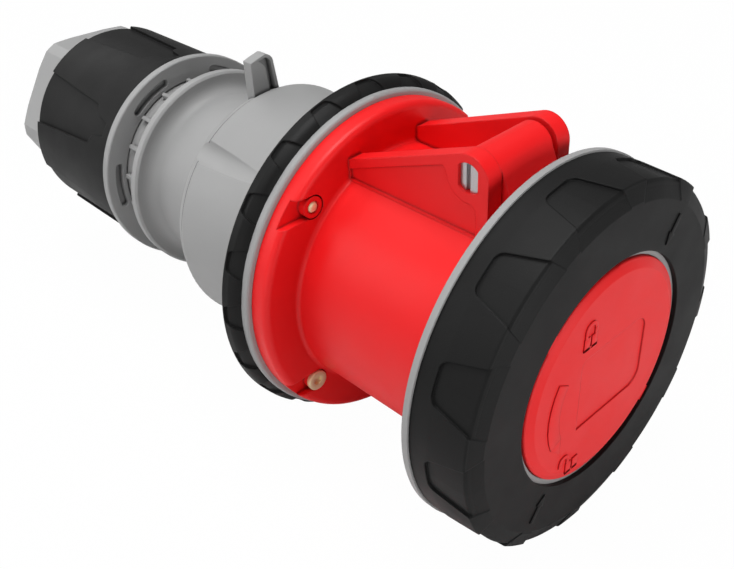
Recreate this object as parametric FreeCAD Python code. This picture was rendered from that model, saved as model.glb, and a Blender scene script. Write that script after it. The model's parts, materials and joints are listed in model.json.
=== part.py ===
import FreeCAD, Part
import math
import os

# Pin and sleeve connector, 63 A five-pole class, in millimetres.
# The plug goes in along +Y from the front. The cable leaves at +Y, and the hinge is on top, at +Z.
# The origin is on the main axis, in the plane of the bayonet ring's rear rim.

# Fits shared by the pieces
RUNNING_GAP = 0.05       # radial gap round the hinge pin
LOOSE_GAP = 0.3          # gap between pieces that turn past each other
FACE_GAP = 0.1           # gap between flat faces that only just meet
PAST = 8.0               # how far a cutting shape runs past the piece it cuts

# Socket collar and flange
COLLAR_R = 44.1
COLLAR_BORE = 41.0
MOUTH_Y = -12.0
FLANGE_Y = 64.6
FLANGE_BACK = 71.6
FLANGE_R = 57.8
FLANGE_EDGE = 2.4
COUNTERBORE_R = 48.0
COUNTERBORE_Y = 66.4
KEYWAY_W = 8.0
KEYWAY_DEPTH = 1.7
KEYWAY_END = 44.0

# Lid hinge
HINGE_Y = 15.0
HINGE_Z = 58.8
EAR_IN = 12.6
EAR_OUT = 18.3
EAR_R = 7.4
EAR_SLOPE = 21.2
EAR_FOOT_Z = 39.5
BARREL_R = 6.9
BARREL_GAP = 1.6         # between the barrel and the right ear
PIN_R = 3.25
PIN_HEAD_R = 4.7
PIN_HEAD_FLAT = 3.5
PIN_SINK = 1.0
PIN_SLOT_W = 1.5
PANEL_DEPTH = 0.8
PANEL_EDGE = 3.0
PANEL_ROUND = 8.1        # from the pin to the panel's edge round it
SPRING_ROOM_R = 5.4
SPRING_ROOM_X = 6.0
SPRING_WIRE_R = 0.45
SPRING_COIL_R = 4.4

# Bayonet lugs
LUG_ANGLES = (30.0, 150.0, 270.0)
LUG_HALF = 11.0
RING_TURN = 32.0
COLLAR_LUG_REACH = 6.2   # how far the collar's lugs stand out of it
COLLAR_LUG_Y = (-9.6, -5.6)
LUG_HOLD = 3.0           # how far the ring's lugs reach behind them
RING_LUG_Y = (-4.4, -0.6)

# Bayonet ring
LUG_ROOM = 4.5           # from the collar's lugs to the ring's bore
RING_SHELL_T = 3.5
RIM_T = 2.2
RIM_REACH = 0.6         # how far the rear rim stands out of the soft grip
RING_FRONT_Y = -22.1
RING_WALL = 2.2
GRIP_T = 3.1
SHOULDER_DROP = 0.6
SHOULDER_Y = -21.3
FACE_Y = -23.7
FACE_SLOPE_W = 5.6
OPENING_STEP = 1.6
POCKETS = 12
POCKET_PHASE = 98.0
POCKET_REAR_Y = -8.0
POCKET_REAR_HALF = 6.1
POCKET_FRONT_HALF = 9.3
POCKET_DEPTH = 0.8

# Lid
DISC_FACE_Y = -24.3
DISC_TOP_R = 33.8
HUB_R = 36.9
LID_FLANGE_W = 5.6
LID_WALL = 2.8
GASKET_LAP_IN = 1.4
GASKET_LAP_OUT = 0.3
LABEL_X = (-12.8, 19.4)
LABEL_Z = (-14.6, 11.6)
LABEL_CORNER = 5.0
LABEL_DEPTH = 0.4
TONGUE_HALF = 11.8
TONGUE_ROOM = 0.9
TONGUE_T = 3.2

# Contacts: pitch circle, pin radii and sleeves
CONTACT_PITCH = 22.5
PHASE_PIN_R = 4.0
EARTH_PIN_R = 5.0
PILOT_PIN_R = 3.0
SLEEVE_WALL = 1.8
CARRIER_R = 35.6
CARRIER_FRONT = -9.5
CARRIER_WALL = 3.0
CARRIER_FACE = 16.0
CARRIER_SHOULDER = 46.0
CARRIER_BACK = 71.4
SLEEVE_FRONT = -6.0
TERMINAL_FRONT = 60.0
TERMINAL_BACK = 94.0

# Rear housing
SEAL_T = 1.8
HOUSING_FLANGE_REACH = 2.0
SEAT_STEP = 1.0
SEAT_Y = 74.4
BAND_T = 4.0
BAND_BACK = 81.3
BODY_FRONT_R = 43.2
BODY_BACK_R = 47.0
BODY_BACK_Y = 125.6
STEP_LINE = 0.5
DRIVER_R = 5.8
DRIVER_SINK = 2.0
SHOULDER_END_Y = 135.4
TAB_HALF = 6.1
NECK_R = 34.0
NECK_FLANGE_R = 41.9
NECK_FLANGE_Y = 164.6
NECK_FLANGE_T = 3.6
HOUSING_WALL = 2.6
BAND_POCKETS = 20
BAND_PHASE = 141.2

# Cable gland
THREAD_STEP = 0.2
THREAD_END = 224.0
GLAND_BORE = 20.5
NUT_Y = 182.5
NUT_FLANGE_T = 3.2
NUT_FLANGE_REACH = 1.8
THREAD_ROOM = 0.7
NUT_WALL = 3.1
CHAMBER_ROOM = 1.2
SLEEVE_T = 2.7
PAD_T = 1.3
RECESS_Y = (6.5, 14.0, 16.5)
RECESS_HALF = (4.0, 6.0, 11.4, 16.0)
GRIP_END = 244.0
HEX_END = 264.0
HEX_PHASE = 57.0
HEX_ROUND_STEP = 0.8
HEX_CORNER_REACH = 1.4
KIDNEY_R = (7.2, 4.0)     # from the nut flange's rim
KIDNEY_DEPTH = 2.4
SEAL_BACK = 214.0
CLAW_END = 7.0           # from the claws to the nut's end
WASHER_T = 1.2
SEAL_LENGTH = 20.0
CLAW_SLOT = 5.0
CLAWS = 12
TEETH = 18
TOOTH_PHASE = 110.0
TOOTH_REACH = 2.3
TOOTH_W = 1.6
TOOTH_END = 1.5          # from the teeth to the nut

# Flange screws: x, z of the two left ones; the right ones mirror them
UPPER_SCREW = (-34.1, 37.0)
LOWER_SCREW = (-39.2, -30.7)
BOSS_R = 3.7
SCREW_R = 2.0
HEAD_R = 3.8
SLOT_DEPTH = 3.0

# Sizes that follow from those above
HOUSING_Y = FLANGE_BACK + SEAL_T
COLLAR_LUG_R = COLLAR_R + COLLAR_LUG_REACH
RING_LUG_R = COLLAR_LUG_R - LUG_HOLD
TONGUE_IN = COLLAR_R + TONGUE_ROOM
TONGUE_OUT = TONGUE_IN + TONGUE_T
GASKET_IN = COLLAR_BORE - GASKET_LAP_IN
GASKET_OUT = COLLAR_R + GASKET_LAP_OUT
LID_FLANGE_R = GASKET_OUT + LID_FLANGE_W
LIP_R = HUB_R + LOOSE_GAP
OPENING_R = LIP_R + OPENING_STEP
RING_BORE = COLLAR_LUG_R + LUG_ROOM
RING_SHELL_R = RING_BORE + RING_SHELL_T
GRIP_R = RING_SHELL_R + GRIP_T
RIM_R = GRIP_R + RIM_REACH
SHOULDER_R = GRIP_R - SHOULDER_DROP
FACE_R = SHOULDER_R - FACE_SLOPE_W
HOUSING_FLANGE_R = FLANGE_R + HOUSING_FLANGE_REACH
RIM_IN = HOUSING_FLANGE_R - 2.4
SEAT_R = HOUSING_FLANGE_R - SEAT_STEP
BAND_R = SEAT_R + BAND_T
NECK_BORE = NECK_R - HOUSING_WALL
CLAW_R = NECK_BORE - 1.0
THREAD_R = NECK_R + THREAD_STEP
TOOTH_R = NECK_R + TOOTH_REACH
TOOTH_BACK = NUT_Y - TOOTH_END
NUT_BORE = THREAD_R + THREAD_ROOM
NUT_CHAMBER_R = CLAW_R + CHAMBER_ROOM
NUT_SHELL_R = NUT_BORE + NUT_WALL
SLEEVE_R = NUT_SHELL_R + SLEEVE_T
PAD_R = SLEEVE_R + PAD_T
NUT_FLANGE_R = PAD_R + NUT_FLANGE_REACH
HEX_ROUND_R = NUT_SHELL_R + HEX_ROUND_STEP
HEX_CORNER_R = HEX_ROUND_R + HEX_CORNER_REACH
CLAW_BACK = HEX_END - CLAW_END

ORIGIN = FreeCAD.Vector(0, 0, 0)
AXIS_X = FreeCAD.Vector(1, 0, 0)
AXIS_Y = FreeCAD.Vector(0, 1, 0)


def export(shape, node):
    """Write one node, after a check that it is one valid shape."""
    if not shape.isValid():
        raise ValueError(node + " is not valid")
    shape.exportStep("parts/" + node + ".step")
    print(node, len(shape.Solids), round(shape.Volume / 1000.0, 2), "cm3")


def outline(items, place):
    """Closed wire from points; an item of four numbers is an arc by its middle and end."""
    here = place(items[0])
    first = here
    edges = []
    for item in items[1:]:
        end = place(item[-2:])
        if len(item) == 4:
            edges.append(Part.Arc(here, place(item[:2]), end).toShape())
        else:
            edges.append(Part.LineSegment(here, end).toShape())
        here = end
    if here.distanceToPoint(first) > 1e-6:
        edges.append(Part.LineSegment(here, first).toShape())
    return Part.Wire(edges)


def turned_piece(items):
    """Solid of revolution about the main axis from (radius, y) items."""
    wire = outline(items, lambda p: FreeCAD.Vector(p[0], p[1], 0))
    return Part.Face(wire).revolve(ORIGIN, AXIS_Y, 360)


def plate_x(items, x0, x1):
    """Plate between two x values from a (y, z) outline."""
    wire = outline(items, lambda p: FreeCAD.Vector(x0, p[0], p[1]))
    return Part.Face(wire).extrude(FreeCAD.Vector(x1 - x0, 0, 0))


def plate_y(items, y0, y1):
    """Plate between two y values from an (x, z) outline."""
    wire = outline(items, lambda p: FreeCAD.Vector(p[0], y0, p[1]))
    return Part.Face(wire).extrude(FreeCAD.Vector(0, y1 - y0, 0))


def rod(radius, y0, y1, x=0.0, z=0.0):
    return Part.makeCylinder(radius, y1 - y0, FreeCAD.Vector(x, y0, z), AXIS_Y)


def tube(inner, outer, y0, y1, x=0.0, z=0.0):
    return rod(outer, y0, y1, x, z).cut(rod(inner, y0 - 1, y1 + 1, x, z))


def cross_rod(radius, x0, x1, y=HINGE_Y, z=HINGE_Z):
    return Part.makeCylinder(radius, x1 - x0, FreeCAD.Vector(x0, y, z), AXIS_X)


def box(x0, x1, y0, y1, z0, z1):
    return Part.makeBox(x1 - x0, y1 - y0, z1 - z0, FreeCAD.Vector(x0, y0, z0))


def at_angle(shape, angle):
    """Turn a shape from the +X side to a polar angle, counted from +X towards +Z."""
    return shape.rotated(ORIGIN, AXIS_Y, -angle)


def sector(inner, outer, y0, y1, middle, half):
    """Part of a tube, between two polar angles."""
    face = Part.Face(outline([(inner, y0), (outer, y0), (outer, y1), (inner, y1)],
                             lambda p: FreeCAD.Vector(p[0], p[1], 0)))
    return at_angle(face.revolve(ORIGIN, AXIS_Y, -2.0 * half), middle - half)


def polar(radius, angle):
    return (radius * math.cos(math.radians(angle)), radius * math.sin(math.radians(angle)))


def fuse_all(shapes):
    return shapes[0].multiFuse(shapes[1:]).removeSplitter()


def mirrored_pair(point):
    return [point, (-point[0], point[1])]


def radial_prism(items, r0, r1):
    """Prism along +X from a (tangent, y) outline, to be turned to its place."""
    wire = outline(items, lambda p: FreeCAD.Vector(r0, p[1], p[0]))
    return Part.Face(wire).extrude(FreeCAD.Vector(r1 - r0, 0, 0))


def trapezoid(y0, half0, y1, half1, y2, half2, radius, corner):
    """Pocket outline: narrow rounded end at y0, wider at y1, run out at y2."""
    def across(degrees):
        return radius * math.sin(math.radians(degrees))
    a, b, c = across(half0), across(half1), across(half2)
    step = corner if y1 > y0 else -corner
    k = 0.3 * corner
    kk = k if y1 > y0 else -k
    return [(-a + corner, y0), (a - corner, y0), (a - k, y0 + kk, a + 0.15 * corner, y0 + step),
            (b, y1), (c, y2), (-c, y2), (-b, y1), (-a - 0.15 * corner, y0 + step),
            (-a + k, y0 + kk, -a + corner, y0)]


# Socket housing: collar, flange, hinge ears and bayonet lugs moulded in one piece
def hinge_ear(side):
    slope = math.radians(EAR_SLOPE)
    back_y = FLANGE_Y + 1.0
    top = (HINGE_Y + EAR_R * math.sin(slope), HINGE_Z + EAR_R * math.cos(slope))
    crown = (HINGE_Y - EAR_R * math.sin(math.radians(30)), HINGE_Z + EAR_R * math.cos(math.radians(30)))
    back_z = top[1] - (back_y - top[0]) * math.tan(slope)
    ear = plate_x([(back_y, EAR_FOOT_Z), (back_y, back_z), top,
                   crown + (HINGE_Y - EAR_R, HINGE_Z), (HINGE_Y - EAR_R, EAR_FOOT_Z)],
                  side * EAR_IN, side * EAR_OUT)
    edge = PANEL_EDGE / math.cos(slope)
    corner_y = HINGE_Y + PANEL_ROUND
    front_y = HINGE_Y - EAR_R + 4.4
    foot = EAR_FOOT_Z + 1.5
    panel = plate_x([(FLANGE_Y - 0.6, foot), (FLANGE_Y - 0.6, back_z - edge + 0.6),
                     (corner_y + 1.5, top[1] - edge - (corner_y + 1.5 - top[0]) * math.tan(slope)),
                     (corner_y + 0.3, HINGE_Z - 0.4, corner_y, HINGE_Z - 2.0),
                     (HINGE_Y + 0.75 * PANEL_ROUND, HINGE_Z - 0.66 * PANEL_ROUND, HINGE_Y + 1.0, HINGE_Z - PANEL_ROUND),
                     (front_y + 0.6, HINGE_Z - PANEL_ROUND - 0.8, front_y, HINGE_Z - PANEL_ROUND - 2.4),
                     (front_y, foot)],
                    side * (EAR_OUT - PANEL_DEPTH), side * (EAR_OUT + 1.0))
    return ear.cut(panel)


def flatted_rod(radius, flat, x0, x1):
    return cross_rod(radius, x0, x1).common(
        box(x0, x1, HINGE_Y - flat, HINGE_Y + flat, HINGE_Z - radius, HINGE_Z + radius))


def screw_slot(point):
    """Slot in the flange face, from a screw boss out to the rim."""
    side = 1.0 if point[0] > 0 else -1.0
    x0, x1 = point[0], side * (FLANGE_R + 2.0)
    block = box(min(x0, x1), max(x0, x1), FLANGE_Y - 1.0, FLANGE_Y + SLOT_DEPTH,
                point[1] - BOSS_R + 0.3, point[1] + BOSS_R + 0.5)
    block = block.fuse(rod(BOSS_R + 0.5, FLANGE_Y - 1.0, FLANGE_Y + SLOT_DEPTH, point[0], point[1]))
    return block.cut(rod(BOSS_R, FLANGE_Y - 2.0, FLANGE_Y + 9.0, point[0], point[1]))


def socket_housing():
    shell = turned_piece([
        (COLLAR_BORE, MOUTH_Y), (COLLAR_R - 0.7, MOUTH_Y), (COLLAR_R - 0.2, MOUTH_Y + 0.2, COLLAR_R, MOUTH_Y + 0.7),
        (COLLAR_R, FLANGE_Y - 1.5), (COLLAR_R + 0.44, FLANGE_Y - 0.44, COLLAR_R + 1.5, FLANGE_Y),
        (FLANGE_R - FLANGE_EDGE, FLANGE_Y),
        (FLANGE_R - 0.29 * FLANGE_EDGE, FLANGE_Y + 0.29 * FLANGE_EDGE, FLANGE_R, FLANGE_Y + FLANGE_EDGE),
        (FLANGE_R, FLANGE_BACK), (COUNTERBORE_R, FLANGE_BACK), (COUNTERBORE_R, COUNTERBORE_Y),
        (COLLAR_BORE, COUNTERBORE_Y)])
    lugs = [sector(COLLAR_R - 0.5, COLLAR_LUG_R, COLLAR_LUG_Y[0], COLLAR_LUG_Y[1], a, LUG_HALF)
            for a in LUG_ANGLES]
    body = fuse_all([shell, hinge_ear(-1), hinge_ear(1)] + lugs)
    cuts = [flatted_rod(PIN_HEAD_R + 0.1, PIN_HEAD_FLAT + 0.1, -EAR_OUT - 1, -EAR_IN + 1),
            cross_rod(PIN_R + RUNNING_GAP, EAR_IN - 1, EAR_IN + 4.0),
            box(-KEYWAY_W / 2, KEYWAY_W / 2, MOUTH_Y - 1, KEYWAY_END,
                -COLLAR_BORE - KEYWAY_DEPTH, -COLLAR_BORE + 4.0)]
    for point in mirrored_pair(UPPER_SCREW) + mirrored_pair(LOWER_SCREW):
        cuts.append(screw_slot(point))
        cuts.append(rod(SCREW_R + 0.15, FLANGE_Y - 1, FLANGE_BACK + 1, point[0], point[1]))
    for point in mirrored_pair(LOWER_SCREW):
        cuts.append(rod(HEAD_R + 0.2, FLANGE_Y - 1, FLANGE_Y + 1.2, point[0], point[1]))
    for cut in cuts:
        body = body.cut(cut)
    return body.removeSplitter()


# Lid: cup with a plateau on its face, a flange behind the ring and an arm to the hinge barrel
def lid():
    groove_y = DISC_FACE_Y + 6.7
    back_y = groove_y + 1.4
    flange_front = RING_FRONT_Y + RING_WALL + LOOSE_GAP
    barrel_end = EAR_IN - BARREL_GAP
    cup = turned_piece([
        (0, DISC_FACE_Y), (DISC_TOP_R, DISC_FACE_Y), (HUB_R - 0.6, DISC_FACE_Y + 1.1),
        (HUB_R - 0.1, DISC_FACE_Y + 1.3, HUB_R, DISC_FACE_Y + 1.9), (HUB_R, flange_front),
        (LID_FLANGE_R, flange_front), (LID_FLANGE_R, back_y), (GASKET_OUT + 0.2, back_y),
        (GASKET_OUT + 0.2, groove_y), (GASKET_IN - 0.2, groove_y), (GASKET_IN - 0.2, back_y),
        (HUB_R - LID_WALL + 0.6, back_y), (HUB_R - LID_WALL, DISC_FACE_Y + LID_WALL),
        (0, DISC_FACE_Y + LID_WALL)])
    tongue = tube(TONGUE_IN, TONGUE_OUT, groove_y, 3.4).common(
        box(-TONGUE_HALF, TONGUE_HALF, groove_y - 1, 6.0, 0, 60))
    foot = (2.2, TONGUE_OUT - 0.4)
    away = math.hypot(HINGE_Y - foot[0], HINGE_Z - foot[1])
    rise = math.atan2(HINGE_Z - foot[1], HINGE_Y - foot[0]) + math.asin(BARREL_R / away)
    reach = math.sqrt(away ** 2 - BARREL_R ** 2)
    touch = (foot[0] + reach * math.cos(rise), foot[1] + reach * math.sin(rise))
    arm = plate_x([(foot[0], TONGUE_IN + 0.2), foot, touch, (HINGE_Y, HINGE_Z), (HINGE_Y, HINGE_Z - BARREL_R),
                   (9.5, TONGUE_IN + 0.2)], -TONGUE_HALF, barrel_end - 0.4)
    barrel = cross_rod(BARREL_R, -EAR_IN + LOOSE_GAP, barrel_end)
    hooks = [sector(HUB_R - 0.5, OPENING_R - 0.4, RING_FRONT_Y - 0.9, RING_FRONT_Y - 0.3, a, 4.0)
             for a in (136.0, 316.0)]
    ribs = [at_angle(box(2.0, HUB_R - LID_WALL, DISC_FACE_Y + LID_WALL - 0.5, groove_y + 0.4, -0.9, 0.9), a)
            for a in (0.0, 60.0, 120.0, 180.0, 240.0, 300.0)]
    body = fuse_all([cup, tongue, arm, barrel] + hooks + ribs)
    body = body.cut(cross_rod(PIN_R + RUNNING_GAP, -20, 20))
    body = body.cut(cross_rod(SPRING_ROOM_R, -SPRING_ROOM_X, SPRING_ROOM_X))
    return body.cut(label_recess()).removeSplitter()


def label_recess():
    """Shallow field on the lid's face, with one sharp corner and three rounded ones."""
    (x0, x1), (z0, z1), r = LABEL_X, LABEL_Z, LABEL_CORNER
    k = r * (1.0 - math.sqrt(0.5))
    return plate_y([(x0, z0), (x1 - r, z0), (x1 - k, z0 + k, x1, z0 + r), (x1, z1 - r),
                    (x1 - k, z1 - k, x1 - r, z1), (x0 + 0.5 * r, z1), (x0 + 0.5 * k, z1 - 0.5 * k, x0, z1 - 0.5 * r)],
                   DISC_FACE_Y - 1, DISC_FACE_Y + LABEL_DEPTH)


def lid_gasket():
    groove_y = DISC_FACE_Y + 6.7
    top = groove_y
    middle = (GASKET_IN + GASKET_OUT) / 2
    return turned_piece([
        (GASKET_IN, top), (GASKET_OUT, top), (GASKET_OUT, MOUTH_Y - 1.2),
        (middle + 1.6, MOUTH_Y - FACE_GAP), (middle - 1.0, MOUTH_Y - FACE_GAP), (GASKET_IN, MOUTH_Y - 1.2)])


# Bayonet ring: a shell with three inner lugs, and a soft grip moulded round it
def bayonet_ring():
    shell = turned_piece([
        (RING_BORE, 0), (RIM_R, 0), (RIM_R, -RIM_T), (RING_SHELL_R, -RIM_T), (RING_SHELL_R, RING_FRONT_Y),
        (LIP_R, RING_FRONT_Y), (LIP_R, RING_FRONT_Y + RING_WALL), (RING_BORE, RING_FRONT_Y + RING_WALL)])
    lugs = [sector(RING_LUG_R, RING_BORE + 0.5, RING_LUG_Y[0], RING_LUG_Y[1], a - RING_TURN, LUG_HALF)
            for a in LUG_ANGLES]
    return fuse_all([shell] + lugs)


def ring_grip():
    body = turned_piece([
        (RING_SHELL_R, -RIM_T), (GRIP_R, -RIM_T), (GRIP_R, -9.0), (SHOULDER_R, SHOULDER_Y),
        (SHOULDER_R - 0.1, SHOULDER_Y - 0.4, SHOULDER_R - 0.7, SHOULDER_Y - 0.7),
        (FACE_R, FACE_Y), (OPENING_R, FACE_Y), (OPENING_R, RING_FRONT_Y), (RING_SHELL_R, RING_FRONT_Y)])
    skin = turned_piece([
        (GRIP_R - POCKET_DEPTH, POCKET_REAR_Y + 3), (GRIP_R - POCKET_DEPTH, -9.0),
        (SHOULDER_R - POCKET_DEPTH, SHOULDER_Y + 0.2), (SHOULDER_R - 1.4, SHOULDER_Y - 0.6),
        (FACE_R - 0.6, FACE_Y), (FACE_R - 0.6, FACE_Y - 3), (GRIP_R + PAST, FACE_Y - 3),
        (GRIP_R + PAST, POCKET_REAR_Y + 3)])
    pocket = radial_prism(
        trapezoid(POCKET_REAR_Y, POCKET_REAR_HALF, SHOULDER_Y, POCKET_FRONT_HALF, FACE_Y - 2, 11.5,
                  GRIP_R, 2.4), FACE_R - PAST, GRIP_R + PAST).common(skin)
    return body.cut(Part.makeCompound([at_angle(pocket, POCKET_PHASE + 360.0 / POCKETS * i)
                                       for i in range(POCKETS)]))


# Hinge pin with a flatted, slotted head that keys into the left ear, and the lid spring round it
def hinge_pin():
    head_x = -EAR_OUT + PIN_SINK
    body = flatted_rod(PIN_HEAD_R, PIN_HEAD_FLAT, head_x, -EAR_IN + 0.1)
    body = body.fuse(cross_rod(PIN_R, -EAR_IN, EAR_IN + 3.8))
    slot = box(head_x - 1, head_x + 1.2, HINGE_Y - PIN_SLOT_W / 2 + 0.6, HINGE_Y + PIN_SLOT_W / 2 + 0.6,
               HINGE_Z - 6, HINGE_Z + 6)
    hook = Part.makeCylinder(SPRING_WIRE_R + 0.1, 2.2, FreeCAD.Vector(-4.5, HINGE_Y, HINGE_Z + PIN_R - 1.6),
                             FreeCAD.Vector(0, 0, 1))
    return body.cut(slot).cut(hook).removeSplitter()


def lid_spring():
    length = 9.0
    turns = 6
    helix = Part.makeHelix(length / turns, length, SPRING_COIL_R)
    ring = Part.Circle(FreeCAD.Vector(SPRING_COIL_R, 0, 0), AXIS_Y, SPRING_WIRE_R).toShape()
    coil = Part.Wire(helix).makePipeShell([Part.Wire(ring)], True, True)
    coil.rotate(ORIGIN, AXIS_Y, 90)
    coil.rotate(ORIGIN, AXIS_X, 90)
    coil.translate(FreeCAD.Vector(-length / 2, HINGE_Y, HINGE_Z))
    leg_in = Part.makeCylinder(SPRING_WIRE_R, SPRING_COIL_R - PIN_R + 1.2,
                               FreeCAD.Vector(-length / 2, HINGE_Y, HINGE_Z + PIN_R - 1.2),
                               FreeCAD.Vector(0, 0, 1))
    return coil.fuse(leg_in)


# Contact carrier and contacts
def contact_places():
    """Name, x, z and pin radius of each contact; earth is at the keyway."""
    places = []
    for index, name in enumerate(("earth", "l1", "l2", "l3", "neutral")):
        x, z = polar(CONTACT_PITCH, -90.0 - 72.0 * index)
        places.append((name, x, z, EARTH_PIN_R if name == "earth" else PHASE_PIN_R))
    places.append(("pilot", 0.0, 0.0, PILOT_PIN_R))
    return places


def contact_carrier():
    body = turned_piece([
        (0, CARRIER_FRONT), (CARRIER_R - 1.0, CARRIER_FRONT), (CARRIER_R, CARRIER_FRONT + 1.0),
        (CARRIER_R, CARRIER_SHOULDER), (COLLAR_BORE - 0.1, CARRIER_SHOULDER),
        (COLLAR_BORE - 0.1, COUNTERBORE_Y + FACE_GAP), (COUNTERBORE_R - 0.2, COUNTERBORE_Y + FACE_GAP),
        (COUNTERBORE_R - 0.2, CARRIER_BACK), (0, CARRIER_BACK)])
    hollow = rod(CARRIER_R - CARRIER_WALL, CARRIER_FRONT + CARRIER_FACE, CARRIER_BACK + 1)
    towers = [rod(pin + SLEEVE_WALL + CARRIER_WALL, CARRIER_FRONT, TERMINAL_FRONT, x, z)
              for name, x, z, pin in contact_places()]
    barriers = [at_angle(box(PILOT_PIN_R + SLEEVE_WALL, CARRIER_R, CARRIER_FRONT, CARRIER_BACK, -0.9, 0.9),
                         -54.0 + 72.0 * i) for i in range(5)]
    body = body.cut(hollow.cut(Part.makeCompound([fuse_all(towers + barriers)])))
    for name, x, z, pin in contact_places():
        body = body.cut(rod(pin + 0.35, CARRIER_FRONT - 1, SLEEVE_FRONT, x, z))
        body = body.cut(rod(pin + SLEEVE_WALL + 0.2, SLEEVE_FRONT - 0.3, TERMINAL_FRONT, x, z))
        body = body.cut(rod(pin + 3.4, TERMINAL_FRONT - 0.2, CARRIER_BACK + 1, x, z))
    return body


def contact(x, z, pin, angle):
    """Brass sleeve with two saw cuts, and a clamp barrel for the wire behind it."""
    outer = pin + SLEEVE_WALL
    barrel = pin + 3.2
    body = rod(outer, SLEEVE_FRONT, TERMINAL_FRONT + 1, x, z).fuse(
        rod(barrel, TERMINAL_FRONT, TERMINAL_BACK, x, z))
    body = body.cut(rod(pin + 0.03, SLEEVE_FRONT - 1, TERMINAL_FRONT - 12, x, z))
    body = body.cut(rod(pin + 0.6, TERMINAL_BACK - 20, TERMINAL_BACK + 1, x, z))
    cut = box(-outer - 1, outer + 1, SLEEVE_FRONT - 1, SLEEVE_FRONT + 24, -0.4, 0.4)
    cut = cut.rotated(ORIGIN, AXIS_Y, -angle)
    cut.translate(FreeCAD.Vector(x, 0, z))
    body = body.cut(cut)
    for y in screw_rows(pin):
        body = body.cut(clamp_screw(x, z, pin, angle, y, 0.15))
    return body


def screw_rows(pin):
    if pin == PILOT_PIN_R:
        return [TERMINAL_BACK - 8.0]
    return [TERMINAL_BACK - 15.0, TERMINAL_BACK - 6.5]


def clamp_screw(x, z, pin, angle, y, gap):
    """Grub screw that points at the wire from the outside."""
    radius = (2.5 if pin > PILOT_PIN_R else 1.6) + gap
    reach = pin + 4.4
    direction = FreeCAD.Vector(math.cos(math.radians(angle)), 0, math.sin(math.radians(angle)))
    start = FreeCAD.Vector(x, y, z) + direction * (pin - 0.4 - gap)
    screw = Part.makeCylinder(radius, reach - pin + 0.4 + gap, start, direction)
    if gap > 0:
        return screw
    end = start + direction * (reach - pin - 0.8)
    hexagon = Part.makeCylinder(radius * 0.5, 3.0, end, direction)
    return screw.cut(hexagon)


def outward(x, z):
    return math.degrees(math.atan2(z, x)) if abs(x) + abs(z) > 1 else 90.0


# Rear housing, its seal, the soft band and the screws of the flange joint
def rear_housing():
    rim_front = FLANGE_BACK + FACE_GAP
    flange_plate = 3.2
    band_in = SEAT_R - 2.6
    foot_y = HOUSING_Y + flange_plate
    inner_front = BODY_FRONT_R - HOUSING_WALL
    inner_back = BODY_BACK_R - HOUSING_WALL - DRIVER_SINK
    flange_back = NECK_FLANGE_Y + NECK_FLANGE_T
    seal_front = SEAL_BACK - SEAL_LENGTH
    body = turned_piece([
        (inner_front, HOUSING_Y), (RIM_IN, HOUSING_Y), (RIM_IN, rim_front), (HOUSING_FLANGE_R - 1.2, rim_front),
        (HOUSING_FLANGE_R - 0.3, rim_front + 0.3, HOUSING_FLANGE_R, rim_front + 1.2), (HOUSING_FLANGE_R, SEAT_Y), (SEAT_R, SEAT_Y), (SEAT_R, BAND_BACK), (band_in, BAND_BACK),
        (band_in, foot_y), (BODY_FRONT_R + 1.5, foot_y), (BODY_FRONT_R + 0.44, foot_y + 0.44, BODY_FRONT_R, foot_y + 1.5),
        (0.5 * (BODY_FRONT_R + BODY_BACK_R) + 0.25, 0.5 * (foot_y + BODY_BACK_Y) + 2.0, BODY_BACK_R, BODY_BACK_Y),
        (BODY_BACK_R - 0.1, BODY_BACK_Y + 0.7, BODY_BACK_R - 0.5, BODY_BACK_Y + 1.3),
        (BODY_BACK_R - 0.5 - STEP_LINE, BODY_BACK_Y + 1.4), (BODY_BACK_R - 0.6 - STEP_LINE, BODY_BACK_Y + 1.8),
        (BODY_BACK_R - 0.8, BODY_BACK_Y + 1.9),
        (BODY_BACK_R - 3.0, BODY_BACK_Y + 6.2, NECK_R + 2.6, SHOULDER_END_Y - 0.2),
        (NECK_R, SHOULDER_END_Y + 1.0),
        (NECK_R, NECK_FLANGE_Y - 6.0), (NECK_R + 1.2, NECK_FLANGE_Y - 1.8, NECK_R + 5.0, NECK_FLANGE_Y),
        (NECK_FLANGE_R - 0.8, NECK_FLANGE_Y), (NECK_FLANGE_R, NECK_FLANGE_Y + 0.8),
        (NECK_FLANGE_R, flange_back), (THREAD_R, flange_back), (THREAD_R, THREAD_END - 1.0),
        (THREAD_R - 1.0, THREAD_END), (NECK_BORE - 0.4, THREAD_END), (NECK_BORE - 0.8, seal_front),
        (GLAND_BORE, seal_front), (GLAND_BORE, seal_front - 3.0), (NECK_BORE, seal_front - 3.0),
        (NECK_BORE, SHOULDER_END_Y - 2.0), (inner_back - 2.4, BODY_BACK_Y + 3.6, inner_back, BODY_BACK_Y - 1.0)])
    bosses = [rod(4.6, HOUSING_Y, 84.0, x, z)
              for x, z in mirrored_pair(UPPER_SCREW) + mirrored_pair(LOWER_SCREW)]
    teeth = [at_angle(box(NECK_R - 1.0, TOOTH_R, flange_back - 0.5, TOOTH_BACK, -TOOTH_W / 2, TOOTH_W / 2),
                      TOOTH_PHASE + 360.0 / TEETH * i) for i in range(TEETH)]
    body = fuse_all([body] + bosses + teeth + [release_tab()])
    for x, z in mirrored_pair(UPPER_SCREW) + mirrored_pair(LOWER_SCREW):
        body = body.cut(rod(SCREW_R + 0.15, HOUSING_Y - 1, 90.0, x, z))
    for x, z in mirrored_pair(UPPER_SCREW):
        body = body.cut(rod(DRIVER_R, BAND_BACK + 3.0, SHOULDER_END_Y, x, z))
    return body.removeSplitter()


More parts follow.
